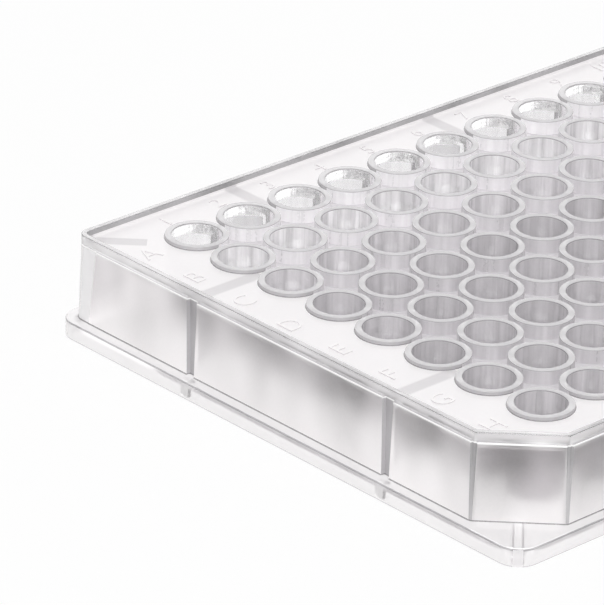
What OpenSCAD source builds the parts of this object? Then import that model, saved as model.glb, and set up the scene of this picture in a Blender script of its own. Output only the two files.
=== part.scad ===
// 96-well microplate, moulded in one piece from clear plastic.
// Origin: centre of the footprint at the underside. +X runs along the columns' long side,
// +Y towards row A, +Z up. Well A1 is at -X, +Y.

/* [Footprint] */
// Length of the flange, along X
plate_l = 127.76; // [122:0.01:136]
// Width of the flange, along Y
plate_w = 85.48; // [80:0.01:94]
// Height over the rim
plate_h = 14.35; // [14:0.05:18]
// Outer radius of the flange's corners
flange_corner_r = 3.18; // [2:0.01:4]

/* [Flange] */
// Height of the flange's top over the underside
flange_h = 2.5; // [2:0.05:3.5]
// Thickness of the flange's outer wall
flange_wall = 1.2; // [0.9:0.05:1.3]
// Height of the step inside the flange that seats the plate below
seat_h = 1.3; // [0.8:0.05:1.6]
// Break on the flange's upper edge
flange_edge = 0.3; // [0.1:0.05:0.6]
// Width of the ribs inside the flange
web_w = 1.4; // [1:0.1:2]
// Depth of the locating ribs inside the flange
web_depth = 0.5; // [0.3:0.05:0.6]

/* [Skirt] */
// From the flange's face to the wall's foot
foot_inset = 1.55; // [1.4:0.05:1.7]
// From the flange's face to the rim
rim_inset = 1.85; // [1.8:0.05:2.2]
// Thickness of the skirt's wall at the rim
skirt_wall = 1.2; // [1:0.05:1.5]
// Outer radius of the skirt's two square corners
skirt_corner_r = 2; // [1.6:0.1:3]
// Leg of the two cut corners at the row H side
cut_corner = 8.3; // [6:0.1:9]
// Outer radius where a cut corner meets a side
cut_edge_r = 0.8; // [0.4:0.1:1.2]
// Width of the rim's top
rim_w = 0.8; // [0.6:0.05:1.1]
// From the rim's top down to the deck
rim_h = 1.05; // [0.7:0.05:1.4]

/* [Panels] */
// How far a panel stands off the wall at its top
panel_proud = 0.3; // [0.2:0.05:0.4]
// How far a panel stands off the wall at its foot
panel_foot_proud = 0.05; // [0.03:0.01:0.1]
// From the rim's top down to the panels' shoulder
panel_drop = 1.2; // [1:0.05:1.6]
// Height of the slope over the shoulder
panel_slope_h = 0.3; // [0.2:0.05:0.5]
// Width of a groove between panels at the shoulder
groove_w = 1.8; // [1.4:0.1:2.4]
// Width of a groove between panels at the foot
groove_foot_w = 1.25; // [0.8:0.05:1.4]
// Depth of a groove behind the wall's face
groove_depth = 0.2; // [0.1:0.05:0.3]
// From a square corner to the panel, at the shoulder
corner_gap = 4.6; // [3.8:0.1:6]
// From a square corner to the panel, at the foot
corner_foot_gap = 3.3; // [3.2:0.1:5]
// From a cut corner's edge to the panel, at the shoulder
cut_gap = 0.45; // [0.35:0.05:0.8]
// From a cut corner's edge to the panel, at the foot
cut_foot_gap = 0.15; // [0.1:0.05:0.3]

/* [Wells] */
// Number of columns, along X
columns = 12; // [2:1:12]
// Number of rows, along Y
rows = 8; // [2:1:8]
// Distance between well centres
pitch = 9; // [8.8:0.05:9.2]
// Bore of a well at its mouth
well_d = 6.6; // [6:0.05:7]
// Bore of a well at its floor
well_floor_d = 6.35; // [5.6:0.05:6.8]
// Depth of a well
well_depth = 10.9; // [9:0.1:11]
// Thickness of a well's floor
well_floor_t = 0.6; // [0.4:0.05:0.8]
// Outer diameter of a well's collar
collar_d = 8.4; // [8:0.05:8.6]
// Height of the collars over the deck
collar_h = 0.5; // [0.3:0.05:0.6]
// Outer diameter of a well's tube under the deck
tube_d = 7.9; // [7.6:0.05:8.2]
// Outer diameter of a well's tube at its floor
tube_floor_d = 7.5; // [7:0.05:7.8]
// Break on the well's mouth and its floor's corner
well_edge = 0.12; // [0.06:0.02:0.2]

/* [Deck] */
// Thickness of the deck and of the web between the wells
deck_t = 1.2; // [0.9:0.05:1.5]
// Depth of the web between the wells below the deck
pocket_depth = 1.5; // [1:0.1:2]
// Thickness of the ribs under the deck
rib_t = 1.2; // [0.8:0.1:1.5]
// Height of a rib at the skirt, under the deck
rib_h = 8; // [4:0.5:9]
// Height of a rib at the wells, under the deck
rib_end_h = 2.5; // [1.5:0.5:3.5]
// Length of the rib in a square corner
corner_rib_l = 6; // [4:0.5:7]

/* [Hidden] */
clear_plastic = [0.90, 0.91, 0.93, 0.55];
arc_steps = 8; // straight steps in a quarter of a corner's arc
round_fn = 96;
lap = 0.2; // how far solids that join run into each other
over = 1; // how far a cut runs past the face that it opens

half_l = plate_l/2;
half_w = plate_w/2;
deck_z = plate_h - rim_h;
under_z = deck_z - deck_t;
web_z = deck_z - pocket_depth;
collar_z = deck_z + collar_h;
floor_z = collar_z - well_depth;
tube_z = floor_z - well_floor_t;
shoulder_z = plate_h - panel_drop;
slope_z = shoulder_z + panel_slope_h;
inner_inset = rim_inset + skirt_wall;
groove_inset = rim_inset + groove_depth;

// The wall's foot, and the edges of its cut corners
foot_x = half_l - foot_inset;
foot_y = half_w - foot_inset;
cut_x = foot_x - cut_corner;
cut_y = foot_y - cut_corner;

// From the middle to the outermost wells' centres, and to the tray's outer faces
span_x = (columns - 1)/2*pitch;
span_y = (rows - 1)/2*pitch;
tray_x = span_x + deck_t;
tray_y = span_y + deck_t;

// Grooves, ribs and webs stand at every fourth gap between wells
groove_pitch = 4*pitch;
grooves_x = [-groove_pitch, 0, groove_pitch];
grooves_y = [-groove_pitch/2, groove_pitch/2];

// Points of an arc from angle a to angle b round a centre
function arc(centre, r, a, b) =
    let (steps = max(2, round(arc_steps*abs(b - a)/90)))
    [for (i = [0:steps]) let (t = a + (b - a)*i/steps) centre + r*[cos(t), sin(t)]];

// Outline of the skirt, inset from the flange's face: round corners beside row A, cut corners
// beside row H. A cut's leg shrinks with the inset, which keeps its face parallel to the foot's.
function skirt_points(inset, r, edge_r) =
    let (
        x = half_l - inset,
        y = half_w - inset,
        leg = cut_corner - (inset - foot_inset)*(2 - sqrt(2)),
        back = edge_r*tan(22.5),
        side_y = leg - y + back,
        end_x = x - leg - back
    )
    concat(
        arc([x - r, y - r], r, 0, 90),
        arc([r - x, y - r], r, 90, 180),
        arc([edge_r - x, side_y], edge_r, 180, 225),
        arc([-end_x, edge_r - y], edge_r, 225, 270),
        arc([end_x, edge_r - y], edge_r, 270, 315),
        arc([x - edge_r, side_y], edge_r, 315, 360)
    );

// Upright solid on the skirt's outline, from z = bottom to z = top
module skirt_block(inset, bottom, top) {
    shrink = inset - foot_inset;
    translate([0, 0, bottom])
        linear_extrude(top - bottom)
            polygon(skirt_points(inset, skirt_corner_r - min(shrink, skirt_corner_r - 0.4),
                max(cut_edge_r - shrink, 0.2)));
}

// Rectangle with round corners, inset from the flange's face
module footprint(inset) {
    r = flange_corner_r - inset;
    square([plate_l - 2*inset, plate_w - 2*(inset + r)], center = true);
    square([plate_l - 2*(inset + r), plate_w - 2*inset], center = true);
    for (x = [-1, 1], y = [-1, 1])
        translate([x*(half_l - inset - r), y*(half_w - inset - r)])
            circle(r, $fn = round_fn);
}

// Turns a shape whose +Y is outward to face each side: 0 is row A, 90 is column 1,
// 180 is row H and -90 is the last column
module facing(angle, reach) {
    rotate(angle)
        translate([0, reach])
            children();
}

// Bar with broken upper edges, length along X and width w along Y
module edge_bar(length, w) {
    rotate([90, 0, 90])
        linear_extrude(length, center = true)
            polygon([
                [-w/2, 0], [w/2, 0],
                [w/2, flange_h - flange_edge], [w/2 - flange_edge, flange_h],
                [flange_edge - w/2, flange_h], [-w/2, flange_h - flange_edge]
            ]);
}

// Flange that the plate stands on, with round corners and a broken upper edge
module flange() {
    r = flange_corner_r;
    edge_bar(plate_l - 2*r, plate_w);
    rotate(90)
        edge_bar(plate_w - 2*r, plate_l);
    for (x = [-1, 1], y = [-1, 1])
        translate([x*(half_l - r), y*(half_w - r)]) {
            cylinder(h = flange_h - flange_edge, r = r, $fn = round_fn);
            translate([0, 0, flange_h - flange_edge])
                cylinder(h = flange_edge, r1 = r, r2 = r - flange_edge, $fn = round_fn);
        }
}

// Wall over the flange: it leans in from its foot to the rim, whose own face is upright
module wall() {
    hull() {
        skirt_block(foot_inset, seat_h, flange_h);
        skirt_block(rim_inset, deck_z, plate_h);
    }
}

// Flat raised panel on a side, between two stations along it. Each end keeps its own gap to
// its station, at the shoulder and at the foot, so that the panel's ends have draft.
module panel(ends, gaps, foot_gaps) {
    lean = foot_inset - rim_inset;
    intersection() {
        rotate([90, 0, 90])
            linear_extrude(plate_l, center = true)
                polygon([
                    [lean - skirt_wall/2, flange_h - lap], [panel_foot_proud, flange_h - lap],
                    [panel_foot_proud, flange_h], [lean + panel_proud, shoulder_z],
                    [lean, slope_z], [lean - skirt_wall/2, slope_z]
                ]);
        rotate([90, 0, 0])
            linear_extrude(4*skirt_wall, center = true)
                polygon([
                    [ends[0] + foot_gaps[0], flange_h - lap], [ends[1] - foot_gaps[1], flange_h - lap],
                    [ends[1] - gaps[1], slope_z], [ends[0] + gaps[0], slope_z]
                ]);
    }
}

// Row of panels between successive stations
module panel_row(stations, gaps, foot_gaps) {
    for (i = [0:len(stations) - 2])
        panel([stations[i], stations[i + 1]], [gaps[i], gaps[i + 1]],
            [foot_gaps[i], foot_gaps[i + 1]]);
}

// All the panels. Each list gives the gaps at its row's stations: corners and grooves.
module panels() {
    g = groove_w/2;
    f = groove_foot_w/2;
    facing(0, foot_y)
        panel_row(concat(-foot_x, grooves_x, foot_x),
            [corner_gap, g, g, g, corner_gap], [corner_foot_gap, f, f, f, corner_foot_gap]);
    facing(180, foot_y)
        panel_row(concat(-cut_x, grooves_x, cut_x),
            [cut_gap, g, g, g, cut_gap], [cut_foot_gap, f, f, f, cut_foot_gap]);
    facing(90, foot_x)
        panel_row(concat(-cut_y, grooves_y, foot_y),
            [cut_gap, g, g, corner_gap], [cut_foot_gap, f, f, corner_foot_gap]);
    facing(-90, foot_x)
        panel_row(concat(-foot_y, grooves_y, cut_y),
            [corner_gap, g, g, cut_gap], [corner_foot_gap, f, f, cut_foot_gap]);
    for (s = [-1, 1])
        translate([s*(foot_x + cut_x)/2, -(foot_y + cut_y)/2])
            rotate(-s*135)
                panel(cut_corner/sqrt(2)*[-1, 1], [cut_gap, cut_gap], [cut_foot_gap, cut_foot_gap]);
}

// Groove between two panels, cut into the wall behind them and tapered like the gap it lies in
module groove() {
    translate([0, over, 0])
        rotate([90, 0, 0])
            linear_extrude(over + groove_inset - foot_inset)
                polygon([
                    [-groove_foot_w/2, flange_h], [groove_foot_w/2, flange_h],
                    [groove_w/2, slope_z], [-groove_w/2, slope_z]
                ]);
}

// Puts a shape at each groove: +Y is outward, from the wall's foot plus a distance
module at_grooves(out = 0) {
    for (x = grooves_x, angle = [0, 180])
        facing(angle, foot_y + out)
            translate([x, 0])
                children();
    for (y = grooves_y, angle = [90, -90])
        facing(angle, foot_x + out)
            translate([y, 0])
                children();
}

// Hollow under the flange: it takes the rim of a plate stacked below. Locating ribs stand in it
// at each groove, and a web runs to the flange's corner under each cut corner.
module flange_hollow() {
    difference() {
        translate([0, 0, -over])
            linear_extrude(seat_h + over)
                footprint(flange_wall);
        at_grooves(foot_inset - flange_wall)
            translate([-web_w/2, -web_depth, -2*over])
                cube([web_w, web_depth + over, seat_h + 4*over]);
        for (s = [-1, 1])
            translate([s*(foot_x + cut_x)/2, -(foot_y + cut_y)/2])
                rotate(-s*135)
                    translate([-web_w/2, -skirt_wall, -2*over])
                        cube([web_w, cut_corner, seat_h + 4*over]);
    }
}

// Shell of the plate: flange, wall, panels and rim round a deck, open underneath
module shell() {
    difference() {
        union() {
            flange();
            wall();
            panels();
        }
        at_grooves()
            groove();
        skirt_block(rim_inset + rim_w, deck_z, plate_h + over);
        skirt_block(inner_inset, -over, under_z);
        flange_hollow();
    }
}

// Tapered rib under the deck, from y = 0 at the skirt's inside to y = -reach at the wells
module rib(reach, end_h) {
    rotate([90, 0, 90])
        linear_extrude(rib_t, center = true)
            polygon([
                [lap, under_z + lap], [-reach, under_z + lap],
                [-reach, under_z - end_h], [lap, under_z - rib_h]
            ]);
}

// Ribs under the deck: one behind each groove, and one in each square corner
module ribs() {
    gap_x = half_l - inner_inset - tray_x;
    gap_y = half_w - inner_inset - tray_y;
    for (x = grooves_x, angle = [0, 180])
        facing(angle, half_w - inner_inset)
            translate([x, 0])
                rib(gap_y + lap, rib_end_h);
    for (y = grooves_y, angle = [90, -90])
        facing(angle, half_l - inner_inset)
            translate([y, 0])
                rib(gap_x + lap, rib_end_h);
    for (s = [-1, 1])
        translate([s*(half_l - inner_inset - lap), half_w - inner_inset - lap])
            rotate(-s*45)
                rib(corner_rib_l, rib_end_h);
}

// Tray below the deck that carries the web between the wells
module tray() {
    translate([-tray_x, -tray_y, web_z - deck_t])
        cube([2*tray_x, 2*tray_y, under_z + lap - web_z + deck_t]);
}

// Pocket between the wells, open at the top
module pocket() {
    translate([-span_x, -span_y, web_z])
        cube([2*span_x, 2*span_y, pocket_depth + over]);
}

// Puts a shape at each well's centre
module at_wells() {
    for (x = [0:columns - 1], y = [0:rows - 1])
        translate([x*pitch - span_x, y*pitch - span_y])
            children();
}

// Outside of one well: a collar down to the web, and a tube from there to the floor
module tube() {
    edge = well_edge;
    rotate_extrude($fn = round_fn)
        polygon([
            [0, tube_z], [tube_floor_d/2 - edge, tube_z], [tube_floor_d/2, tube_z + edge],
            [tube_d/2, web_z - deck_t/2], [collar_d/2, web_z - deck_t/2],
            [collar_d/2, collar_z - edge], [collar_d/2 - edge, collar_z], [0, collar_z]
        ]);
}

// Inside of one well, with a broken mouth and floor corner
module bore() {
    edge = well_edge;
    rotate_extrude($fn = round_fn)
        polygon([
            [0, floor_z], [well_floor_d/2 - edge, floor_z], [well_floor_d/2, floor_z + edge],
            [well_d/2, collar_z - edge], [well_d/2 + edge, collar_z],
            [well_d/2 + edge, collar_z + over], [0, collar_z + over]
        ]);
}

// The whole plate
module well_plate() {
    color(clear_plastic)
        difference() {
            union() {
                difference() {
                    union() {
                        shell();
                        tray();
                        ribs();
                    }
                    pocket();
                }
                at_wells()
                    tube();
            }
            at_wells()
                bore();
        }
}

well_plate();
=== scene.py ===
"""Clear 96-well plate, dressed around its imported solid."""
import math

import bmesh
import bpy
import numpy as np
from mathutils import Matrix, Vector
from mathutils.geometry import delaunay_2d_cdt


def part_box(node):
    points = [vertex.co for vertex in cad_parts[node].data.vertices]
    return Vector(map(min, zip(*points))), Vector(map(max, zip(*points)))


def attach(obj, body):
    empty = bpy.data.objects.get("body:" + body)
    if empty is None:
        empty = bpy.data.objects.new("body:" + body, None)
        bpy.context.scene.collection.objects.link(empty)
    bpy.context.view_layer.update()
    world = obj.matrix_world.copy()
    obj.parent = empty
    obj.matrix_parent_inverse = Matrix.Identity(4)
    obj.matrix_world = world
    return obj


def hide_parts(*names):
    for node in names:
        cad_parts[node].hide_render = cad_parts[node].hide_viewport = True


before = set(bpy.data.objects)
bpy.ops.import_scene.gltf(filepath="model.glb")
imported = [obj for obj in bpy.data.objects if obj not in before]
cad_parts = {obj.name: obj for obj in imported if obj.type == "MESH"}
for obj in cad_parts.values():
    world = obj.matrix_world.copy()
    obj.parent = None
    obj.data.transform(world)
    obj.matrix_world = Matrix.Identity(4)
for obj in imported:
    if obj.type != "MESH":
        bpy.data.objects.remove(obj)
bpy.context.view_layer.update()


# ---------------------------------------------------------------------------------------------
# Skirt: flange, leaning wall with its panels, and rim, as one closed strip round the plate.
# It is moulded in one shot with the wells, from clear polystyrene. Lengths are in millimetres
# until the mesh is made.

MM = 0.001
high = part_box("well_plate")[1] / MM
half_l, half_w, plate_h = high.x, high.y, high.z

# wells and the tray that they hang in, which the grooves and ribs line up with
columns, rows, pitch = 12, 8, 9.0
span_x, span_y = (columns - 1) / 2 * pitch, (rows - 1) / 2 * pitch
tray_edge = 1.2
groove_pitch = 4 * pitch
grooves_x = groove_pitch * np.array([-1, 0, 1])
grooves_y = groove_pitch * np.array([-0.5, 0.5])

# heights
seat_h, flange_h = 1.3, 2.5
deck_t = 1.2
deck_z = plate_h - 1.05
under_z = deck_z - deck_t
shoulder_z = plate_h - 1.35
slope_z = shoulder_z + 0.3

# how far in from the footprint's edge each face lies
foot_inset, rim_inset, rim_inner, inner_inset = 1.55, 1.85, 2.65, 3.05
panel_foot, panel_top, groove_inset = 1.5, 1.55, 2.05
flange_r, flange_wall = 3.18, 1.2

# width of the webs in the flange's hollow
web_w = 1.4

# round and cut corners, and how far a panel keeps from its ends, at the foot and at the slope
corner_centre = 3.55
cut_leg, cut_round = 8.3, 0.18
corner_gaps, cut_gaps, groove_gaps = (3.3, 4.6), (0.15, 0.45), (0.625, 0.9)
edge_run = 0.06
foot_x, foot_y = half_l - foot_inset, half_w - foot_inset
cut_x, cut_y = foot_x - cut_leg, foot_y - cut_leg

# sizes of the rounded edges
small, flange_edge, deck_fillet = 0.12, 0.3, 0.2
shoulder_edge, slope_edge = 0.08, 0.03
rim_fillet_h, rim_fillet_w = 0.35, 0.15

SIDES = (
    # outward, half size, start, end, grooves, gaps at the start, gaps at the end
    ((1, 0), half_l, -cut_y, foot_y, grooves_y, cut_gaps, corner_gaps),
    ((0, 1), half_w, -foot_x, foot_x, grooves_x, corner_gaps, corner_gaps),
    ((-1, 0), half_l, -foot_y, cut_y, grooves_y, corner_gaps, cut_gaps),
    ((0, -1), half_w, -cut_x, cut_x, grooves_x, cut_gaps, cut_gaps),
)


def side_stations(start, end, grooves, start_gaps, end_gaps):
    """Stations along a side: two at each panel edge, edge_run before it and edge_run after.

    Returns each station's distance along the side at the foot and at the slope, its share of
    panel and its share of groove.
    """
    middles = np.concatenate([[start], np.repeat(grooves, 2), [end]])
    gaps = np.tile(groove_gaps, (len(middles), 1))
    gaps[0], gaps[-1] = start_gaps, end_gaps
    opens = np.tile([1.0, -1.0], len(middles) // 2)[:, None]
    edges = middles[:, None] + opens * gaps
    at = (edges[:, None, :] + np.array([-edge_run, edge_run])[None, :, None]).reshape(-1, 2)
    panel = np.where(opens > 0, [0.0, 1.0], [1.0, 0.0]).ravel()
    groove = 1 - panel
    groove[[0, -1]] = 0
    return at[:, 0], at[:, 1], panel, groove


def on_arc(centre, radius, outward, degrees):
    """Points centre + radius*outward, with outward turned anticlockwise by each angle."""
    c, s = np.cos(np.radians(degrees)), np.sin(np.radians(degrees))
    turned = np.stack([c * outward[0] - s * outward[1], s * outward[0] + c * outward[1]], -1)
    return centre + radius * turned


def cut_corner(outward, along, ends, wall, panel, lean):
    """Points of a cut corner: a small arc, the cut face with its panel, and a small arc.

    ends are the cut's two tips. A point of the face is the middle of the tips + distance along
    the cut * its direction, moved out by wall - panel where the panel is.
    """
    face = (outward + along) / math.sqrt(2)
    face_along = np.array([-face[1], face[0]])
    pull = cut_round / (1 + math.sqrt(0.5))
    gap = cut_gaps[0] + (cut_gaps[1] - cut_gaps[0]) * lean
    reach = cut_leg / math.sqrt(2) - gap
    half_cut = np.linalg.norm(ends[1] - ends[0]) / 2 - cut_round * math.tan(math.pi / 8)
    a = np.concatenate([[-reach - edge_run], np.linspace(edge_run - reach, reach - edge_run, 9),
                        [reach + edge_run]])
    a = np.clip(a, -half_cut, half_cut)
    proud = (wall - panel) * (np.abs(a) < reach)
    return np.concatenate([
        on_arc(ends[0] - (outward + face) * pull, cut_round, outward, [0, 15, 30, 45]),
        (ends[0] + ends[1]) / 2 + face_along * a[:, None] + face * proud[:, None],
        on_arc(ends[1] - (face + along) * pull, cut_round, face, [0, 15, 30, 45]),
    ])


def ring(z, wall, panel, groove, flange=False):
    """One closed row of points round the plate at height z, anticlockwise from the +X side.

    A point of a side is outward * (half size - inset) + along * station. wall, panel and groove
    are the inset on the plain wall, on a panel and in a groove. A flange row has four round
    corners, a skirt row has two and two cut ones, and both have the same number of points.
    """
    lean = min(max((z - flange_h) / (slope_z - flange_h), 0), 1)
    leg = cut_leg - (wall - foot_inset) * (2 - math.sqrt(2))
    row = []
    for k, (outward, half, start, end, grooves, start_gaps, end_gaps) in enumerate(SIDES):
        outward = np.array(outward, float)
        along = np.array([-outward[1], outward[0]])
        half_along = SIDES[(k + 1) % 4][1]
        round_reach = flange_r if flange else corner_centre
        cut_reach = flange_r if flange else wall + leg + cut_round * math.tan(math.pi / 8)
        foot, top, on_panel, on_groove = side_stations(start, end, grooves, start_gaps, end_gaps)
        a = np.clip(foot + (top - foot) * lean,
                    (round_reach if k in (1, 2) else cut_reach) - half_along,
                    half_along - (round_reach if k < 2 else cut_reach))
        inset = wall + on_panel * (panel - wall) + on_groove * (groove - wall)
        row.append(outward * (half - inset)[:, None] + along * a[:, None])
        corner = outward * half + along * half_along
        if k < 2:
            centre = corner - (outward + along) * round_reach
            row.append(on_arc(centre, round_reach - wall, outward, np.linspace(0, 90, 13)))
        elif flange:
            centre = corner - (outward + along) * flange_r
            arc = on_arc(centre, flange_r - wall, outward, np.linspace(0, 90, 9))
            # five points on each side of the arc, to be as many as on a cut corner
            steps = np.linspace(0.2, 1, 5)[:, None] * (cut_leg - flange_r) * 0.9
            row += [arc[0] - along * steps[::-1], arc, arc[-1] - outward * steps]
        else:
            ends = (corner - outward * wall - along * (wall + leg),
                    corner - along * wall - outward * (wall + leg))
            row.append(cut_corner(outward, along, ends, wall, panel, lean))
    row = np.concatenate(row)
    return np.column_stack([row, np.full(len(row), z)])


def bend(start, corner, end, steps=3):
    """Rounded corner of a profile: (1-t)^2*start + 2t(1-t)*corner + t^2*end, t from 0 to 1."""
    t = np.linspace(0, 1, steps + 1)[:, None]
    start, corner, end = (np.array(p, float) for p in (start, corner, end))
    return (1 - t) ** 2 * start + 2 * t * (1 - t) * corner + t ** 2 * end


def even(z, inset):
    """A profile point whose wall, panels and grooves lie in one face."""
    return z, inset, inset, inset


def strip(rows_round):
    """Points and quads of the surface through closed rows that have the same length."""
    rows_round = np.asarray(rows_round, float)
    index = np.arange(rows_round.shape[0] * rows_round.shape[1]).reshape(rows_round.shape[:2])
    after = np.roll(index, -1, axis=1)
    quads = np.stack([index[:-1], after[:-1], after[1:], index[1:]], -1)
    return rows_round.reshape(-1, 3), quads.reshape(-1, 4)


# a profile's points are (height, inset of the wall, of a panel, of a groove)
inside_profile = np.concatenate([
    bend(even(under_z, inner_inset + deck_fillet), even(under_z, inner_inset),
         even(under_z - deck_fillet, inner_inset)),
    [even(seat_h, inner_inset)],
])
flange_profile = np.concatenate([
    [even(seat_h, flange_wall)],
    bend(even(small, flange_wall), even(0, flange_wall), even(0, flange_wall - small), 2),
    bend(even(0, small), even(0, 0), even(small, 0), 2),
    bend(even(flange_h - flange_edge, 0), even(flange_h, 0), even(flange_h, flange_edge), 4),
])
foot = np.array([flange_h, foot_inset, panel_foot, groove_inset])
rise = np.array([1, (rim_inset - foot_inset) / (deck_z - flange_h), 0, 0])
out = np.array([0, 1, 1, 1])
shoulder = np.array([shoulder_z, rim_inset, panel_top, groove_inset])
wall_profile = np.concatenate([
    bend(foot - small * out, foot, foot + small * rise),
    bend(shoulder - [small, 0, 0, 0], shoulder, shoulder + [shoulder_edge, 0, shoulder_edge, 0]),
    [[slope_z - slope_edge, rim_inset, rim_inset - slope_edge, groove_inset],
     even(slope_z, rim_inset)],
    bend(even(plate_h - small, rim_inset), even(plate_h, rim_inset),
         even(plate_h, rim_inset + small)),
    bend(even(plate_h, rim_inner - small), even(plate_h, rim_inner),
         even(plate_h - small, rim_inner)),
    bend(even(deck_z + rim_fillet_h, rim_inner), even(deck_z, rim_inner),
         even(deck_z, rim_inner + rim_fillet_w)),
])
skirt_rows = (
    [ring(*p) for p in inside_profile]
    + [ring(*p, flange=True) for p in flange_profile]
    + [ring(*p) for p in wall_profile]
)


def node(tree, kind, inputs=(), **values):
    """New node of a tree, with its properties set and its inputs set or linked to sockets."""
    made = tree.nodes.new("ShaderNode" + kind)
    for name, value in values.items():
        setattr(made, name, value)
    for key, value in dict(inputs).items():
        if isinstance(value, bpy.types.NodeSocket):
            tree.links.new(value, made.inputs[key])
        else:
            made.inputs[key].default_value = value
    return made


def calculated(tree, operation, *terms):
    """Output socket of a Math node."""
    return node(tree, "Math", enumerate(terms), operation=operation).outputs[0]


def finish_group():
    """Node group of a moulded surface: upright streaks left by the mould's cores, soft clouds
    of uneven tone, fine grain, and painted shade that darkens the colour towards the deck.

    mix = Streaks*s + Clouds*c + Grain*g, colour = Colour * (1 + mix + Shade*up*(c - 1)),
    roughness = Roughness * (1 + mix) and height = mix. s is noise drawn out along Z, c is noise
    about a centimetre across and g is fine noise, each from -1 to 1, and up rises from 0 by the
    skirt's foot to 1 towards the deck.
    """
    shade_from, shade_to = 0.002, 0.0105
    tree = bpy.data.node_groups.new("moulded_surface", "ShaderNodeTree")
    for name in ("Colour", "Roughness", "Streaks", "Clouds", "Grain", "Shade"):
        kind = "NodeSocketColor" if name == "Colour" else "NodeSocketFloat"
        tree.interface.new_socket(name, in_out="INPUT", socket_type=kind)
    for name in ("Colour", "Roughness", "Height"):
        kind = "NodeSocketColor" if name == "Colour" else "NodeSocketFloat"
        tree.interface.new_socket(name, in_out="OUTPUT", socket_type=kind)
    given = tree.nodes.new("NodeGroupInput").outputs
    place = node(tree, "TexCoord").outputs["Object"]
    drawn = node(tree, "Mapping", {"Vector": place, "Scale": (900, 900, 30)}).outputs[0]
    # where the clouds lie also sets where the painted shade on the panels is deep or light
    soft = node(tree, "Mapping", {"Vector": place, "Location": (28.1, 14.8, 32.6),
                                  "Scale": (110, 110, 70)}).outputs[0]

    def noise(at, scale, detail, spread):
        """Noise whose values 0.5 - spread to 0.5 + spread are stretched to -1 to 1."""
        value = node(tree, "TexNoise", {"Vector": at, "Scale": scale, "Detail": detail}).outputs[0]
        return node(tree, "MapRange", {"Value": value, "From Min": 0.5 - spread,
                                       "From Max": 0.5 + spread, "To Min": -1.0}).outputs[0]

    streaks = noise(drawn, scale=1.0, detail=3.0, spread=0.25)
    clouds = noise(soft, scale=1.0, detail=1.0, spread=0.15)
    grain = noise(place, scale=2600.0, detail=2.0, spread=0.25)
    mix = 0.0
    for value, amount in ((streaks, "Streaks"), (clouds, "Clouds"), (grain, "Grain")):
        mix = calculated(tree, "MULTIPLY_ADD", value, given[amount], mix)
    factor = calculated(tree, "ADD", mix, 1.0)
    # painted shade: the colour darkens towards the deck by Shade, more where the clouds are dark
    height = node(tree, "SeparateXYZ", {0: place}).outputs["Z"]
    up = node(tree, "MapRange", {"Value": height, "From Min": shade_from,
                                 "From Max": shade_to}).outputs[0]
    shade = calculated(tree, "MULTIPLY", up, given["Shade"])
    shaded = calculated(tree, "MULTIPLY_ADD", shade, calculated(tree, "SUBTRACT", clouds, 1.0), factor)
    tint = node(tree, "VectorMath", {0: given["Colour"], "Scale": shaded}, operation="SCALE")
    rough = node(tree, "Math", {0: given["Roughness"], 1: factor}, operation="MULTIPLY",
                 use_clamp=True)
    result = tree.nodes.new("NodeGroupOutput").inputs
    tree.links.new(tint.outputs[0], result["Colour"])
    tree.links.new(rough.outputs[0], result["Roughness"])
    tree.links.new(mix, result["Height"])
    return tree


moulded_surface = finish_group()
finishes = []


def finish(name, colour, roughness, clearness, streaks=0.0, clouds=0.0, grain=0.0, shade=0.0,
           bump=0.0, within=1.0, within_roughness=0.1, mask=None, masked=None, masked_within=None):
    """Adds a finish of the moulding and returns its number, which faces carry.

    It is clear polystyrene, polished or etched outside, and light that is already in the plastic
    meets it as clear, with the tint within. Lamps reach through it, so its shadow is faint. The
    masked tints hold where mask is 1. A tint that isn't masked is the same all over.
    """
    refraction, shadow_tint = 1.55, 0.97
    material = bpy.data.materials.new(name)
    material.use_nodes = True
    tree = material.node_tree
    tree.nodes.clear()

    def tint(plain, inked):
        """The plain colour, or a mix that turns from plain to inked with the mask."""
        if inked is None:
            return (*plain, 1)
        return node(tree, "Mix", {"Factor": mask(tree), "A": (*plain, 1), "B": (*inked, 1)},
                    data_type="RGBA").outputs["Result"]

    surface = node(tree, "Group", {
        "Colour": tint(colour, masked), "Roughness": roughness, "Streaks": streaks,
        "Clouds": clouds, "Grain": grain, "Shade": shade}, node_tree=moulded_surface).outputs
    bumps = node(tree, "Bump", {"Height": surface["Height"], "Strength": bump,
                                "Distance": MM}).outputs[0]
    shell = node(tree, "BsdfPrincipled", {
        "Base Color": surface["Colour"], "Roughness": surface["Roughness"],
        "IOR": refraction, "Transmission Weight": clearness, "Normal": bumps}).outputs[0]
    core = node(tree, "BsdfPrincipled", {
        "Base Color": tint([within] * 3, masked_within),
        "Roughness": within_roughness, "IOR": refraction, "Transmission Weight": 1.0}).outputs[0]
    inside_out = node(tree, "NewGeometry").outputs["Backfacing"]
    plastic = node(tree, "MixShader", {0: inside_out, 1: shell, 2: core}).outputs[0]
    through = node(tree, "BsdfTransparent", {"Color": (*[shadow_tint] * 3, 1)}).outputs[0]
    shadow = node(tree, "LightPath").outputs["Is Shadow Ray"]
    mixed = node(tree, "MixShader", {0: shadow, 1: plastic, 2: through}).outputs[0]
    node(tree, "OutputMaterial", {"Surface": mixed})
    finishes.append(material)
    return len(finishes) - 1


def from_middle(tree, place):
    """Sockets of |x| and |y| at a place on the plate."""
    away = node(tree, "VectorMath", {0: place}, operation="ABSOLUTE").outputs[0]
    x, y, _ = node(tree, "SeparateXYZ", {0: away}).outputs
    return x, y


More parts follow.
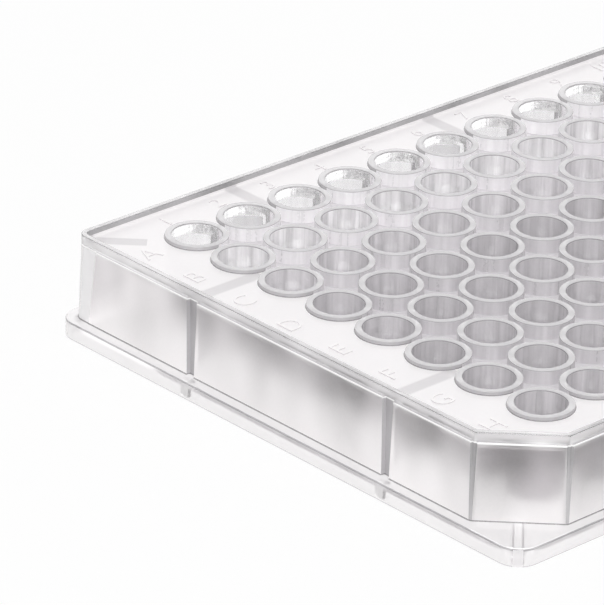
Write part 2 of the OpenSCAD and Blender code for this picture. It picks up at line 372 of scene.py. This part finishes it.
def shade_over_ribs(tree):
    """1 on the deck where a rib stands under it, which takes painted shade there, and 0 elsewhere.

    It is 1 where the distance to a rib's middle line is less than half a bar, and the point is
    between the skirt and the wells' tray, or the slanting rib's inner end. The distance is
    ||y| - groove_pitch / 2|, |x| folded to and fro every groove_pitch / 2, or, for a corner's
    slanting rib, ||x| - y - (half_l - half_w)|, which is sqrt(2) times the one on the plan.
    """
    bar_half, soft = 1.0, 0.2
    corner_bar = 10.6  # fall of x + y from the skirt's corner to the slanting rib's inner end
    place = node(tree, "TexCoord").outputs["Object"]
    x, y = from_middle(tree, place)
    y_signed = node(tree, "SeparateXYZ", {0: place}).outputs["Y"]

    def near(value, reach):
        """1 where value is under reach, with a slightly soft edge."""
        return node(tree, "MapRange", {"Value": value, "From Min": (reach + soft) * MM,
                                       "From Max": (reach - soft) * MM}).outputs[0]

    def distance(value, line):
        """|value - line|."""
        return calculated(tree, "ABSOLUTE", calculated(tree, "ADD", value, -line * MM))

    past_tray_x = calculated(tree, "GREATER_THAN", x, (span_x + tray_edge) * MM)
    past_tray_y = calculated(tree, "GREATER_THAN", y, (span_y + tray_edge) * MM)
    along_y = calculated(tree, "MULTIPLY", near(distance(y, groove_pitch / 2), bar_half), past_tray_x)
    folded = calculated(tree, "PINGPONG", x, groove_pitch / 2 * MM)
    along_x = calculated(tree, "MULTIPLY", near(folded, bar_half), past_tray_y)
    slant = distance(calculated(tree, "SUBTRACT", x, y_signed), half_l - half_w)
    inner_end = half_l + half_w - 2 * inner_inset - corner_bar
    past_end = calculated(tree, "GREATER_THAN", calculated(tree, "ADD", x, y_signed), inner_end * MM)
    corner = calculated(tree, "MULTIPLY", near(slant, bar_half * math.sqrt(2)), past_end)
    straight = calculated(tree, "MAXIMUM", along_x, along_y)
    return calculated(tree, "MAXIMUM", straight, corner)


# name, colour, roughness, clearness
CLEAR = finish("clear_inside", (0.95, 0.94, 0.95), 0.10, 1.0, grain=0.02)
FLANGE = finish("flange_gloss", (0.875, 0.85, 0.86), 0.15, 0.65, clouds=0.02)
# painted shade: dark bands on the flange's inner wall and lower edges
FLANGE_EDGE_SHADE = finish("flange_edge", (0.38, 0.37, 0.38), 0.10, 0.6, clouds=0.05)
FLANGE_FRONT = finish("flange_front", (0.84, 0.82, 0.83), 0.15, 0.15, clouds=0.02)
# painted shade: a dark line in the crease where the wall rises from the flange
FOOT = finish("foot_shade_line", (0.28, 0.27, 0.28), 0.20, 0.3)
# painted shade: the panels darken towards the deck, in patches set by the clouds
PANEL = finish("panel_satin", (0.91, 0.86, 0.87), 0.40, 1.0, clouds=0.1, grain=0.02, shade=0.3,
               bump=0.02)
# painted shade: the grooves, their sides and the cut corners' edges are darker than the panels, and
# darken towards the deck
GROOVE = finish("groove_shade", (0.43, 0.415, 0.43), 0.30, 0.2, clouds=0.03, grain=0.02, shade=0.1)
GROOVE_SIDE = finish("groove_side_shade", (0.55, 0.535, 0.55), 0.30, 0.1, clouds=0.03, grain=0.02,
                     shade=0.1)
CUT_EDGE = finish("cut_edge_shade", (0.60, 0.585, 0.60), 0.30, 0.1, clouds=0.03, grain=0.02, shade=0.35)
CORNER = finish("corner_gloss", (0.90, 0.885, 0.895), 0.25, 0.5, clouds=0.03)
# painted highlight: the ledge under the rim is near white and nearly opaque
LEDGE_HIGHLIGHT = finish("ledge_highlight", (0.99, 0.98, 0.985), 0.15, 0.10)
RIM = finish("rim_gloss", (0.71, 0.695, 0.705), 0.15, 0.6, clouds=0.2, bump=0.05)
# painted shade: dark lines along the rim's top edges and a darker inner face
RIM_EDGE = finish("rim_edge_shade", (0.35, 0.34, 0.35), 0.15, 0.9, clouds=0.3, within=0.5)
RIM_LIP = finish("rim_lip_shade", (0.30, 0.29, 0.30), 0.20, 0.5, clouds=0.3)
RIM_INSIDE = finish("rim_inside_shade", (0.38, 0.37, 0.38), 0.50, 0.25, clouds=0.25, grain=0.1, bump=0.05)
# painted shade: the deck is darker in bars over the ribs beneath it
DECK = finish("deck_satin", (0.97, 0.945, 0.955), 0.30, 0.12, clouds=0.01, grain=0.01, bump=0.05,
              mask=shade_over_ribs, masked=(0.75, 0.725, 0.74))

band_finishes = (
    # underside of the deck, inner wall, seat, flange, foot, wall, ledge, rim and edge of the deck
    [CLEAR] * 5 + [FLANGE_EDGE_SHADE] * 6 + [FLANGE] + [FLANGE_EDGE_SHADE] * 2 + [FLANGE] * 3 + [FOOT] * 3
    + [PANEL] + [LEDGE_HIGHLIGHT] * 3 + [RIM] * 3 + [RIM_EDGE] * 3 + [RIM] + [RIM_LIP] * 3 + [RIM_INSIDE]
    + [DECK] * 3)


def skirt_zones():
    """Finish of each quad of the strip, as an array (bands, stations).

    A station's shift between a row with panels and grooves and a plain row tells what it is on.
    The flange's front is another finish where a cut corner's web stands behind it, which is where
    ||x| - |y| - (half_l - half_w)| is less than the web's width / sqrt(2).
    """
    panel_shift, groove_shift = 0.1, 0.2
    corner_reach, cut_reach = 6.5, 1.0
    wall, front = band_finishes.index(PANEL), slice(8, 13)
    plain = ring(shoulder_z, rim_inset, rim_inset, rim_inset)
    shaped = ring(shoulder_z, rim_inset, rim_inset - panel_shift, rim_inset + groove_shift)
    shift = np.linalg.norm(shaped - plain, axis=1).round(3)
    on_panel, in_groove = ((shift == s) & np.roll(shift == s, -1) for s in (panel_shift, groove_shift))
    at_corner = plain[:, 1] > half_w - corner_reach
    at_cut = (np.abs(plain[:, 0]) > cut_x - cut_reach) & (plain[:, 1] < cut_reach - cut_y)
    x, y, _ = ring(small, 0, 0, 0, flange=True).T
    before_web = (np.abs(np.abs(x) - np.abs(y) - (half_l - half_w)) < web_w / math.sqrt(2)) & (y < 0)
    zones = np.repeat(np.array(band_finishes)[:, None], len(plain), axis=1)
    zones[front, before_web & np.roll(before_web, -1)] = FLANGE_FRONT
    zones[wall, ~on_panel] = GROOVE_SIDE
    zones[wall, in_groove] = GROOVE
    zones[wall, ~on_panel & at_corner] = CORNER
    zones[wall, ~on_panel & at_cut] = CUT_EDGE
    return zones.ravel()


# ---------------------------------------------------------------------------------------------
# Wells: 12 columns by 8 rows of open tubes with raised collars, joined by a web that lies below
# the deck. Each well is worked out on its own square of the pitch, so that squares meet exactly.
# The cores that form them leave upright streaks. Rows A to C are clearer, and their colour is painted
# paler towards row A, painted light from beyond it.

web_z = deck_z - 1.5
collar_z = deck_z + 0.5
floor_z = collar_z - 10.9
tube_z = floor_z - 0.6
well_r, well_floor_r = 3.3, 3.175
collar_r, tube_r, tube_floor_r = 4.2, 3.95, 3.75

# sizes of the rounded edges: foot and top of the collar, mouth, floor, and foot of the tube
collar_edge, mouth_edge, floor_edge, tube_fillet = 0.1, 0.12, 0.25, 0.15

# half a side of a well's square, as the distances of its points from the middle of the side
half_pitch = pitch / 2
octant = np.array([0, 0.7, tray_edge, 2.2, 3.3, half_pitch])

wells_x = np.linspace(-span_x, span_x, columns)
wells_y = np.linspace(-span_y, span_y, rows)
centres = np.stack(np.meshgrid(wells_x, wells_y, indexing="ij"), -1).reshape(-1, 2)


def square_and_circle(breaks):
    """Stations round a well: directions of a circle, and the points of its square that they meet.

    A quarter has 10 steps of 9 degrees, and the square's points use the octant's offsets. Each
    break repeats a station, so that the height can jump there. Returns the circle's directions,
    the square's points, and a point of the square in the middle of each station's own stretch.
    """
    stretches = list(zip((0,) + breaks, breaks + (10,)))
    steps = np.concatenate([np.arange(a, b + 1) for a, b in stretches])
    middles = np.concatenate([np.full(b - a + 1, (a + b) / 2) for a, b in stretches])
    offsets = np.concatenate([octant, octant[-2::-1]])

    def quarter_square(at):
        across = np.interp(at, np.arange(11), offsets)
        side = np.full_like(across, half_pitch)
        return np.where((at <= 5)[:, None], np.stack([side, across], -1), np.stack([across, side], -1))

    angle = np.radians(9.0 * steps)
    quarter = [np.stack([np.cos(angle), np.sin(angle)], -1), quarter_square(steps),
               quarter_square(middles)]
    turns = np.array([[[1, 0], [0, 1]], [[0, 1], [-1, 0]], [[-1, 0], [0, -1]], [[0, -1], [1, 0]]])
    return [np.concatenate([part @ m for m in turns]) for part in quarter]


def cell_rows(circle, square, heights, profile, level):
    """Rows round every well at once, as an array (rows, wells, stations, 3).

    The first row runs round the square. The others are circles: centre + radius * direction, at
    z + tied * (height - level), for the profile's (radius, z, tied). heights gives the height of
    the sheet at each well and station. tied is 1 where z moves with it from level, and 0 where z
    is fixed.
    """
    flat = centres[:, None, :] + square[None]
    rings = [np.concatenate([flat, heights[..., None]], -1)]
    for radius, z, tied in profile:
        flat = centres[:, None, :] + radius * circle[None]
        rings.append(np.concatenate([flat, (z + tied * (heights - level))[..., None]], -1))
    return np.array(rings)


def cells(rings):
    """Points and quads of the surfaces through each well's rows, in order of band, well and station."""
    index = np.arange(rings[..., 0].size).reshape(rings.shape[:3])
    after = np.roll(index, -1, axis=2)
    quads = np.stack([index[:-1], after[:-1], after[1:], index[1:]], -1)
    return rings.reshape(-1, 3), quads.reshape(-1, 4)


def edge_rows(start, corner, end, tied):
    """Profile of a rounded edge from start to end, each (radius, z), with tied as a third column."""
    return np.insert(bend(start, corner, end, 2), 2, tied, 1)


circle, square, middle = square_and_circle(())
in_tray = np.all(np.abs(centres[:, None] + middle) < [span_x, span_y], axis=-1)
well_rows = cell_rows(circle, square, np.where(in_tray, web_z, deck_z), np.concatenate([
    edge_rows((collar_r + collar_edge, deck_z), (collar_r, deck_z), (collar_r, deck_z + collar_edge), 1),
    edge_rows((collar_r, collar_z - collar_edge), (collar_r, collar_z),
              (collar_r - collar_edge, collar_z), 0),
    edge_rows((well_r + mouth_edge, collar_z), (well_r, collar_z), (well_r, collar_z - mouth_edge), 0),
    edge_rows((well_floor_r, floor_z + floor_edge), (well_floor_r, floor_z),
              (well_floor_r - floor_edge, floor_z), 0),
    [[0, floor_z, 0]],
]), deck_z)
in_pocket = in_tray & np.roll(in_tray, -1, axis=1)

# a break where the tray's edge crosses the square, so that the underside steps down there
circle, square, middle = square_and_circle((2, 8))
in_tray = np.all(np.abs(centres[:, None] + middle) < [span_x + tray_edge, span_y + tray_edge], axis=-1)
tube_rows = cell_rows(circle, square, np.where(in_tray, web_z - deck_t, under_z), np.concatenate([
    edge_rows((tube_r + tube_fillet, under_z), (tube_r, under_z), (tube_r, under_z - tube_fillet), 1),
    edge_rows((tube_floor_r, tube_z + small), (tube_floor_r, tube_z), (tube_floor_r - small, tube_z), 0),
    [[0, tube_z, 0]],
]), under_z)

COLLAR = finish("collar_satin", (0.735, 0.72, 0.735), 0.25, 0.3, grain=0.02, bump=0.05)
# painted shade: the collar's side is darker than its top, with darker lines at its foot and at the mouth
COLLAR_SIDE_SHADE = finish("collar_side_shade", (0.56, 0.545, 0.56), 0.25, 0.2, grain=0.02, bump=0.05)
COLLAR_SHADE_LINE = finish("collar_shade_line", (0.40, 0.39, 0.40), 0.25, 0.4)
WEB = finish("web_satin", (0.74, 0.72, 0.74), 0.30, 0.15)
# painted shade under the deck: the tubes' walls and the fillets under the deck are darker, and the tubes
# darken towards the deck
TUBE = finish("tube_wall_shade", (0.60, 0.585, 0.60), 0.25, 0.5, streaks=0.12, grain=0.02, shade=0.25,
              bump=0.3)
UNDER = finish("under_shade", (0.50, 0.485, 0.50), 0.30, 0.4)

# pocket walls and bores in row A, row B, row C, and rows D to H
# painted light: the colours are paler towards row A, and the stronger streaks in rows B and C are partly
# painted streaks of light
POCKETS = np.array([
    finish("pocket_wall_%d" % k, (*colour, colour[0]), 0.30, 0.12, streaks=0.15, grain=0.02, bump=0.3)
    for k, colour in enumerate([(0.99, 0.975), (0.93, 0.91), (0.80, 0.78), (0.70, 0.68)])])
BORES = np.array([
    finish("bore_wall_%d" % k, (*colour, colour[0]), 0.15, clearness, streaks=streaks, grain=0.02,
           bump=0.5, within=within, within_roughness=0.6)
    for k, (colour, clearness, streaks, within) in enumerate([
        ((0.98, 0.965), 0.95, 0.15, 0.9), ((0.93, 0.915), 0.3, 0.35, 0.9),
        ((0.80, 0.78), 0.25, 0.28, 0.8), ((0.69, 0.67), 0.2, 0.2, 0.7)])])

# bands from the square in to the middle: three to the collar's foot, its wall, its top and mouth,
# and from first_bore on the bore and its floor
foot_bands = 3
collar_bands = ([DECK] + [COLLAR_SHADE_LINE] * 2 + [COLLAR_SIDE_SHADE] * 2 + [COLLAR] * 2 + [COLLAR_SIDE_SHADE]
                + [COLLAR_SHADE_LINE])
first_bore = len(collar_bands)
row_of = np.minimum(((span_y - centres[:, 1]) / pitch).round().astype(int), len(BORES) - 1)
well_zones = np.zeros((len(well_rows) - 1,) + in_pocket.shape, int)
well_zones[:first_bore] = np.array(collar_bands)[:, None, None]
well_zones[:foot_bands, in_pocket] = WEB
well_zones[foot_bands] = np.where(in_pocket, POCKETS[row_of][:, None], well_zones[foot_bands])
well_zones[first_bore:] = BORES[row_of][None, :, None]
tube_zones = np.repeat([UNDER] * 3 + [TUBE] * 4, tube_rows[0].size // 3)


# ---------------------------------------------------------------------------------------------
# Border of the deck: the flat sheet between the rim and the wells, seen from above and below.
# With it the skirt and the wells close up into one mesh.

def border(outer, z):
    """Points and triangles of the flat sheet at height z between an outline and the wells' squares."""
    x, y = span_x + half_pitch, span_y + half_pitch
    offsets = np.unique(np.concatenate([octant, -octant]))
    side_x = (wells_x[:, None] + offsets).ravel()
    side_y = (wells_y[:, None] + offsets).ravel()
    inner = np.concatenate([np.stack(np.broadcast_arrays(*side), -1) for side in (
        (side_x, -y), (x, side_y), (side_x[::-1], y), (-x, side_y[::-1]))])
    inner = inner[np.any(np.abs(inner - np.roll(inner, 1, axis=0)) > 1e-6, axis=1)]
    flat = np.concatenate([outer[:, :2], inner])
    loops = [list(range(len(outer))), list(range(len(outer), len(flat)))]
    made = delaunay_2d_cdt([Vector(p) for p in flat], [], loops, 2, 1e-6)
    points = np.array([tuple(p) for p in made[0]])
    faces = np.array([list(f) for f in made[2]])
    a, b, c = (points[faces[:, i]] for i in range(3))
    flip = np.cross(b - a, c - a) < 0
    faces[flip] = faces[flip][:, ::-1]
    return np.column_stack([points, np.full(len(points), z)]), faces


def weld(parts):
    """Joins surfaces (points, faces, material) into one: points that coincide become one point.

    Quads that lose a side become triangles, and faces with no area left are dropped.
    """
    points = np.concatenate([p for p, _, _ in parts])
    # cells of 0.0001 mm, shifted so that round numbers don't lie on their borders
    key = np.floor(points * 1e4 + 0.31416).astype(np.int64)
    _, first, to = np.unique(key, axis=0, return_index=True, return_inverse=True)
    to = to.ravel()
    faces, zones, start = [], [], 0
    for part_points, part_faces, zone in parts:
        f = to[part_faces + start]
        start += len(part_points)
        zone = np.broadcast_to(zone, len(f))
        same = f == np.roll(f, -1, axis=1)
        whole = ~same.any(axis=1)
        faces += f[whole].tolist()
        zones.append(zone[whole])
        if f.shape[1] == 4:
            one = (same.sum(axis=1) == 1) & (f[:, 0] != f[:, 2]) & (f[:, 1] != f[:, 3])
            keep = ~same[one]
            faces += f[one][keep].reshape(-1, 3).tolist()
            zones.append(zone[one])
    return points[first], faces, np.concatenate(zones)


def mesh_object(name, points, faces, zones=None, materials=()):
    """Object at the origin whose mesh has these points, in millimetres, and these faces."""
    mesh = bpy.data.meshes.new(name)
    mesh.from_pydata((points * MM).tolist(), [], faces)
    if zones is not None:
        mesh.polygons.foreach_set("material_index", zones.astype(np.int32))
    for material in materials:
        mesh.materials.append(material)
    made = bpy.data.objects.new(name, mesh)
    bpy.context.scene.collection.objects.link(made)
    return made


skirt_points, skirt_quads = strip(skirt_rows)
deck_points, deck_faces = border(skirt_rows[-1], deck_z)
under_points, under_faces = border(skirt_rows[0], under_z)
well_points, well_quads = cells(well_rows)
tube_points, tube_quads = cells(tube_rows)
points, faces, zones = weld([
    (skirt_points, skirt_quads, skirt_zones()), (deck_points, deck_faces, DECK),
    (under_points, under_faces[:, ::-1], CLEAR), (well_points, well_quads, well_zones.ravel()),
    (tube_points, tube_quads[:, ::-1], tube_zones)])
plate = mesh_object("moulding", points, faces, zones)


# ---------------------------------------------------------------------------------------------
# Ribs and webs: plates that stiffen the skirt under the deck and the flange's hollow, moulded with
# the rest. They are closed prisms that run a little into their neighbours, and are then fused with
# the moulding.

rib_t, rib_h, rib_end_h, corner_rib_l = 1.2, 8.0, 2.5, 7.5
web_depth, web_foot = 0.5, 0.02
corner_web_back, corner_web_front = 1.2, 5.8
sunk = 0.2
crease = 38


def web_edge_shade(tree):
    """1 on a corner web's flanks and along its edges, where it is painted dark as painted shade, and 0
    in its middle.

    The distance from the middle is ||x| - |y| - (half_l - half_w)|, which is sqrt(2) times the
    distance on the plan.
    """
    clear_to, dark_from = 0.6, 0.75
    x, y = from_middle(tree, node(tree, "TexCoord").outputs["Object"])
    off = calculated(tree, "ADD", calculated(tree, "SUBTRACT", x, y), (half_w - half_l) * MM)
    return node(tree, "MapRange", {"Value": calculated(tree, "ABSOLUTE", off),
                                   "From Min": clear_to * MM, "From Max": dark_from * MM}).outputs[0]


RIB = finish("rib_face", (0.80, 0.79, 0.80), 0.35, 0.8)
# painted shade: the web's flanks and edges are near black, inside and out
CORNER_WEB = finish("corner_web", (0.95, 0.94, 0.95), 0.20, 0.3, within=0.98, mask=web_edge_shade,
                    masked=(0.15, 0.14, 0.15), masked_within=(0.15, 0.14, 0.15))
# painted shade: the small webs in the flange's hollow are near black
LOCATING_RIB_SHADE = finish("locating_rib_shade", (0.12, 0.115, 0.12), 0.30, 0.1, within=0.4)


def prisms(profile, width, places):
    """Points and faces of prisms: place + forward * distance +- side * width / 2, at the profile's z.

    The profile is (distance, z). A place is a point and a direction, forward, on the plan, and
    side is forward turned by 90 degrees.
    """
    profile = np.asarray(profile, float)
    count = len(profile)
    at = np.array([p for p, _ in places], float)[:, None, None]
    forward = np.array([d for _, d in places], float)[:, None, None]
    forward = forward / np.linalg.norm(forward, axis=-1, keepdims=True)
    side = np.stack([-forward[..., 1], forward[..., 0]], -1)
    offset = np.array([-width / 2, width / 2])[None, :, None, None]
    flat = at + forward * profile[None, None, :, :1] + side * offset
    z = np.broadcast_to(profile[None, None, :, 1:], flat.shape[:-1] + (1,))
    points = np.concatenate([flat, z], -1).reshape(-1, 3)
    faces = []
    for start in range(0, len(points), 2 * count):
        near, far = start + np.arange(count), start + count + np.arange(count)
        faces += [near.tolist(), far[::-1].tolist()]
        faces += np.stack([near, far, np.roll(far, -1), np.roll(near, -1)], -1).tolist()
    return points, faces


def joined(solids):
    """Points and faces of several solids (points, faces) as one."""
    starts = np.cumsum([0] + [len(points) for points, _ in solids])
    faces = [(np.array(face) + start).tolist()
             for (_, solid_faces), start in zip(solids, starts) for face in solid_faces]
    return np.concatenate([points for points, _ in solids]), faces


def rib_profile(reach):
    """Side view of a rib: as deep as rib_h at the skirt and rib_end_h at its far end."""
    return [(-sunk, under_z - rib_h), (reach, under_z - rib_end_h), (reach, under_z + sunk),
            (-sunk, under_z + sunk)]


def web_profile(back, front):
    """Side view of a web in the flange's hollow, a rectangle."""
    low, high = web_foot, seat_h + sunk
    return [(-back, low), (front, low), (front, high), (-back, high)]


def at_grooves(inset):
    """Places inset from the footprint's edge beside each groove, on the long and the short sides."""
    return ([((x, s * (half_w - inset)), (0, -s)) for x in grooves_x for s in (-1, 1)],
            [((s * (half_l - inset), y), (-s, 0)) for y in grooves_y for s in (-1, 1)])


rib_places_x, rib_places_y = at_grooves(inner_inset)
corner_places = [((s * (half_l - inner_inset - sunk), half_w - inner_inset - sunk), (-s, -1))
                 for s in (-1, 1)]
cut_middles = [((s * (foot_x + cut_x) / 2, -(foot_y + cut_y) / 2), (s, -1)) for s in (-1, 1)]
to_tray = sunk - inner_inset - tray_edge
stiffeners = [
    prisms(rib_profile(half_w - span_y + to_tray), rib_t, rib_places_x),
    prisms(rib_profile(half_l - span_x + to_tray), rib_t, rib_places_y),
    prisms(rib_profile(corner_rib_l), rib_t, corner_places),
    prisms(web_profile(sunk, web_depth), web_w, sum(at_grooves(flange_wall), [])),
    prisms(web_profile(corner_web_back, corner_web_front), web_w, cut_middles),
]
rib_zones = np.repeat([RIB, RIB, RIB, LOCATING_RIB_SHADE, CORNER_WEB], [len(f) for _, f in stiffeners])

# the union keeps the finishes only where both meshes have the same list of them
for material in finishes:
    plate.data.materials.append(material)
ribs = mesh_object("stiffeners", *joined(stiffeners), rib_zones, finishes)
unite = plate.modifiers.new("unite", "BOOLEAN")
unite.operation, unite.object, unite.solver = "UNION", ribs, "MANIFOLD"
graph = bpy.context.evaluated_depsgraph_get()
whole = bpy.data.meshes.new_from_object(plate.evaluated_get(graph))
bpy.data.objects.remove(ribs)
plate.modifiers.clear()
plate.data = whole
whole.shade_smooth()
whole.set_sharp_from_angle(angle=math.radians(crease))
normals = plate.modifiers.new("even faces", "WEIGHTED_NORMAL")
normals.keep_sharp = True
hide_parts("well_plate")
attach(plate, "root")


# ---------------------------------------------------------------------------------------------
# Row letters and column numbers: fine raised characters that the mould leaves on the deck, A to H
# beside the rows and 1 to 12 beyond the columns. They are of the same plastic as the plate.

letter_h, number_h = 2.8, 2.3
letters_x, numbers_y = -57.65, 37.7
raised, sunk_in = 0.12, 0.05
thinner = -0.012

LETTER = finish("letter_face", (0.95, 0.925, 0.935), 0.30, 0.12, grain=0.01)
# painted shade: the characters' flanks are darker than their tops
LETTER_FLANK_SHADE = finish("letter_flank_shade", (0.70, 0.68, 0.69), 0.30, 0.12, grain=0.1)


def character(text, height, x, y):
    """Points and faces of a character as a closed solid, from the built-in font, centred at x, y.

    A point of the font's outline, extruded to a thickness of 1, is taken from the middle of its
    box, scaled to the height and the raised thickness, and moved to its place.
    """
    curve = bpy.data.curves.new("character", "FONT")
    curve.body, curve.resolution_u, curve.extrude, curve.offset = text, 4, 0.5, thinner
    shown = bpy.data.objects.new("character", curve)
    bpy.context.scene.collection.objects.link(shown)
    mesh = bpy.data.meshes.new_from_object(shown.evaluated_get(bpy.context.evaluated_depsgraph_get()))
    bpy.data.objects.remove(shown)
    solid = bmesh.new()
    solid.from_mesh(mesh)
    bmesh.ops.remove_doubles(solid, verts=solid.verts, dist=1e-4)
    bmesh.ops.recalc_face_normals(solid, faces=solid.faces)
    solid.to_mesh(mesh)
    solid.free()
    points = np.zeros(len(mesh.vertices) * 3)
    mesh.vertices.foreach_get("co", points)
    points = points.reshape(-1, 3)
    low, high = points.min(axis=0), points.max(axis=0)
    scale = height / (high[1] - low[1])
    points = (points - (low + high) / 2) * [scale, scale, raised + sunk_in]
    points += [x, y, deck_z + (raised - sunk_in) / 2]
    return points, [list(f.vertices) for f in mesh.polygons]


def characters(name, solids):
    """One piece of many characters: faces that look up or down are LETTER, and flanks LETTER_FLANK_SHADE."""
    points, faces = joined(solids)
    piece = mesh_object(name, points, faces, materials=(finishes[LETTER], finishes[LETTER_FLANK_SHADE]))
    normal = np.zeros(len(faces) * 3)
    piece.data.polygons.foreach_get("normal", normal)
    flank = np.abs(normal.reshape(-1, 3)[:, 2]) < 0.5
    piece.data.polygons.foreach_set("material_index", flank.astype(np.int32))
    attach(piece, "root")


characters("row_letters", [character(letter, letter_h, letters_x, span_y - pitch * k)
                           for k, letter in enumerate("ABCDEFGH")])
characters("column_numbers", [character(str(k + 1), number_h, pitch * k - span_x, numbers_y)
                              for k in range(columns)])


# ---------------------------------------------------------------------------------------------
# Floor, light and camera: a floor of plain white paper, a pale sky and three soft lamps. They are
# not part of the plate.

floor_half = 3000.0
corners = np.array([[-1, -1, 0], [1, -1, 0], [1, 1, 0], [-1, 1, 0]])
floor = mesh_object("floor", corners * floor_half, [[0, 1, 2, 3]])


def seen_directly(tree):
    """1 for rays from the camera, mirrors and glass, and 0 for the light that falls on things."""
    path = node(tree, "LightPath").outputs
    seen = calculated(tree, "MAXIMUM", path["Is Camera Ray"], path["Is Transmission Ray"])
    return calculated(tree, "MAXIMUM", seen, path["Is Glossy Ray"])


paper_white, paper_glow = 0.97, 0.9
paper = bpy.data.materials.new("floor_paper")
paper.use_nodes = True
tree = paper.node_tree
tree.nodes.clear()
lit = node(tree, "BsdfDiffuse", {"Color": (*[paper_white] * 3, 1)}).outputs[0]
glow = node(tree, "Emission", {"Color": (1, 1, 1, 1), "Strength": 1.0}).outputs[0]
half_lit = node(tree, "MixShader", {0: paper_glow, 1: lit, 2: glow}).outputs[0]
mixed = node(tree, "MixShader", {0: seen_directly(tree), 1: lit, 2: half_lit}).outputs[0]
node(tree, "OutputMaterial", {"Surface": mixed})
floor.data.materials.append(paper)

sky_light, sky_seen = 0.5, 1.0
world = bpy.data.worlds.new("studio")
bpy.context.scene.world = world
world.use_nodes = True
tree = world.node_tree
sky = tree.nodes["Background"]
level = node(tree, "MapRange", {"Value": seen_directly(tree), "To Min": sky_light,
                                "To Max": sky_seen}).outputs[0]
tree.links.new(level, sky.inputs["Strength"])
sky.inputs["Color"].default_value = (1, 1, 1, 1)


def direction(azimuth, elevation):
    """Unit vector from the plate: (sin a * cos e, -cos a * cos e, sin e)."""
    turn, rise = math.radians(azimuth), math.radians(elevation)
    return Vector((math.sin(turn) * math.cos(rise), -math.cos(turn) * math.cos(rise), math.sin(rise)))


def softbox(name, azimuth, elevation, distance, width, height, radiance):
    """Rectangular lamp aimed at the origin from an azimuth and elevation in degrees.

    Its distance and size are in metres, and its power is radiance * pi * its area.
    """
    lamp = bpy.data.lights.new(name, "AREA")
    lamp.shape, lamp.size, lamp.size_y = "RECTANGLE", width, height
    lamp.energy = radiance * math.pi * width * height
    made = bpy.data.objects.new(name, lamp)
    way = direction(azimuth, elevation)
    made.location = way * distance
    made.rotation_euler = way.to_track_quat("Z", "Y").to_euler()
    made.visible_camera = False
    bpy.context.scene.collection.objects.link(made)


softbox("overhead", 0, 88, distance=0.9, width=0.8, height=0.8, radiance=1.1)
softbox("front", -43, 30, distance=0.9, width=0.4, height=0.8, radiance=3.0)
softbox("behind", 137, 27, distance=0.8, width=0.8, height=0.6, radiance=0.5)

bpy.context.scene.view_settings.view_transform = "Standard"

# the camera's angles in degrees, and its distance from its target in millimetres
azimuth, elevation, roll = -43.176, 25.629, 1.497
distance = 661.087
target = Vector((-53.233, 7.378, 14.0))
lens = bpy.data.cameras.new("camera")
lens.sensor_fit, lens.sensor_width, lens.lens = "HORIZONTAL", 36, 313.51
lens.clip_start, lens.clip_end = 0.01, 20
back = direction(azimuth, elevation)
camera = bpy.data.objects.new("camera", lens)
camera.rotation_mode = "QUATERNION"
look = (-back).to_track_quat("-Z", "Y")
camera.rotation_quaternion = look @ Matrix.Rotation(math.radians(roll), 3, "Z").to_quaternion()
camera.location = (target + back * distance) * MM
bpy.context.scene.collection.objects.link(camera)
bpy.context.scene.camera = camera

# light passes many walls of the clear plastic before it leaves it
bounces = 32
cycles = bpy.context.scene.cycles
cycles.max_bounces = bounces
cycles.glossy_bounces = bounces
cycles.transmission_bounces = bounces
cycles.transparent_max_bounces = bounces
